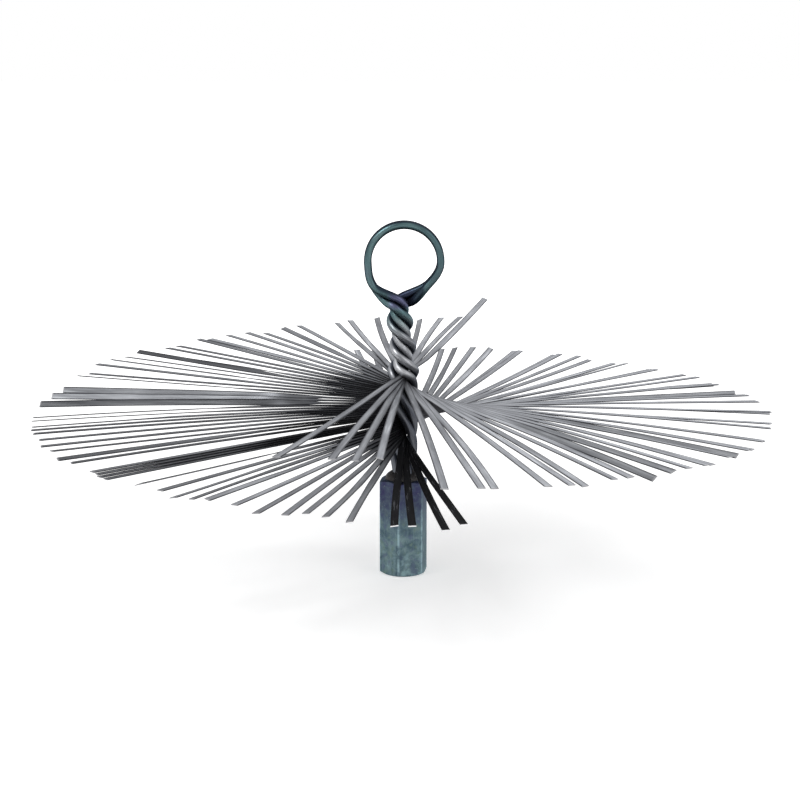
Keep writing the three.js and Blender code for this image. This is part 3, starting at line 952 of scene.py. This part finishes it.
def bead_piece():
    """Lumpy dome with fine ripples round it, closed below by a fan of faces."""
    rings, sides = BEAD_RINGS, BEAD_SIDES
    bottom = COUPLING_LENGTH + BEAD_LIFT
    points = [(0, 0, bottom)]
    faces = []
    for r in range(1, rings + 1):
        share = r / rings
        for k in range(sides):
            a = k / sides * FULL_TURN
            wander = RIPPLE_WANDER * math.sin(a * RIPPLE_BENDS)
            ripple = RIPPLE_HEIGHT * math.sin(a * RIPPLE_COUNT + wander + share * RIPPLE_SPIN)
            lump = sum(size * math.sin(a * count + start) for size, count, start in BEAD_LUMPS)
            edge = BEAD_WIDTH / 2 * (1 + LUMP_EDGE * lump)
            dome = BEAD_HEIGHT * math.sqrt(max(1 - share**BEAD_DOME_POWER, 0))
            top = bottom + dome * (1 + LUMP_TOP * lump)
            z = bottom if r == rings else top + ripple * min(1, RIPPLE_FADE * (1 - share)) * share
            points.append((edge * share * math.cos(a), edge * share * math.sin(a), z))
    top_centre = len(points)
    points.append((0, 0, bottom + BEAD_HEIGHT))
    for k in range(sides):
        j = (k + 1) % sides
        faces.append((top_centre, 1 + k, 1 + j))
        last = 1 + (rings - 1) * sides
        faces.append((0, last + j, last + k))
        for r in range(rings - 1):
            a = 1 + r * sides
            faces.append((a + k, a + sides + k, a + sides + j, a + j))
    new_piece("weld_rippled", points, faces, {}, WELD, "weld_bead", BEAD_SHARP)


coupling_piece()
bead_piece()


# Floor, world, lamps and camera

# Own light of the floor near the brush, and the distances in metres over which it rises to white.
FLOOR_GLOW = 0.46
FLOOR_FADE = (0.2, 0.75)
FLOOR_HALF = 4.0
FLOOR_GREY = (0.86, 0.86, 0.86, 1)
# Strength of the world as a light, and as it is seen.
WORLD_STRENGTHS = (0.55, 1.0)
# Name, place and width in metres, and power in watts of each lamp.
LAMPS = [
    ("key", (-0.75, -0.7, 1.1), 0.5, 9),
    ("fill", (1.0, -0.8, 0.7), 0.9, 3),
    ("back", (0.3, 1.0, 0.9), 0.8, 3),
]
LAMP_AIM = (0, 0, 0.08)


def stage_floor():
    mesh = bpy.data.meshes.new("floor")
    signs = [(-1, -1), (1, -1), (1, 1), (-1, 1)]
    corners = [(x * FLOOR_HALF, y * FLOOR_HALF, 0) for x, y in signs]
    mesh.from_pydata(corners, [], [(0, 1, 2, 3)])
    floor = bpy.data.objects.new("floor", mesh)
    bpy.context.scene.collection.objects.link(floor)
    net = new_net("floor_white")
    away = net.tree.nodes.new("ShaderNodeVectorMath")
    away.operation = "LENGTH"
    net.put(away.inputs[0], net.place())
    glow_level = net.range(away.outputs["Value"], *FLOOR_FADE, FLOOR_GLOW, 1)
    matt = net.tree.nodes.new("ShaderNodeBsdfDiffuse")
    matt.inputs["Color"].default_value = FLOOR_GREY
    glow = net.tree.nodes.new("ShaderNodeEmission")
    net.put(glow.inputs["Strength"], net.math("MULTIPLY", net.seen(), glow_level))
    both = net.tree.nodes.new("ShaderNodeAddShader")
    out = net.tree.nodes.new("ShaderNodeOutputMaterial")
    net.tree.links.new(matt.outputs[0], both.inputs[0])
    net.tree.links.new(glow.outputs[0], both.inputs[1])
    net.tree.links.new(both.outputs[0], out.inputs["Surface"])
    mesh.materials.append(net.owner)


def stage_world():
    world = bpy.data.worlds.new("studio")
    bpy.context.scene.world = world
    net = Net(world)
    sky = net.tree.nodes.new("ShaderNodeBackground")
    sky.inputs["Color"].default_value = (1, 1, 1, 1)
    net.put(sky.inputs["Strength"], net.range(net.seen(), 0, 1, *WORLD_STRENGTHS))
    out = net.tree.nodes.new("ShaderNodeOutputWorld")
    net.tree.links.new(sky.outputs[0], out.inputs["Surface"])


def soft_lamp(name, place, width, power):
    lamp = bpy.data.lights.new(name, "AREA")
    lamp.shape = "DISK"
    lamp.size = width
    lamp.energy = power
    made = bpy.data.objects.new(name, lamp)
    made.location = place
    aim = Vector(LAMP_AIM) - Vector(place)
    made.rotation_euler = aim.to_track_quat("-Z", "Y").to_euler()
    bpy.context.scene.collection.objects.link(made)


def stage_camera():
    data = bpy.data.cameras.new("camera")
    data.sensor_width = CAMERA_SENSOR
    data.lens = CAMERA_LENS
    camera = bpy.data.objects.new("camera", data)
    aim = Vector(CAMERA_AIM) * MM
    tilt = math.radians(CAMERA_ELEVATION)
    back = Vector((0, -math.cos(tilt), math.sin(tilt)))
    camera.location = aim + back * CAMERA_DISTANCE * MM
    camera.rotation_euler = (-back).to_track_quat("-Z", "Y").to_euler()
    bpy.context.scene.collection.objects.link(camera)
    bpy.context.scene.camera = camera


stage_floor()
stage_world()
for lamp in LAMPS:
    soft_lamp(*lamp)
stage_camera()
bpy.context.scene.view_settings.view_transform = "Standard"
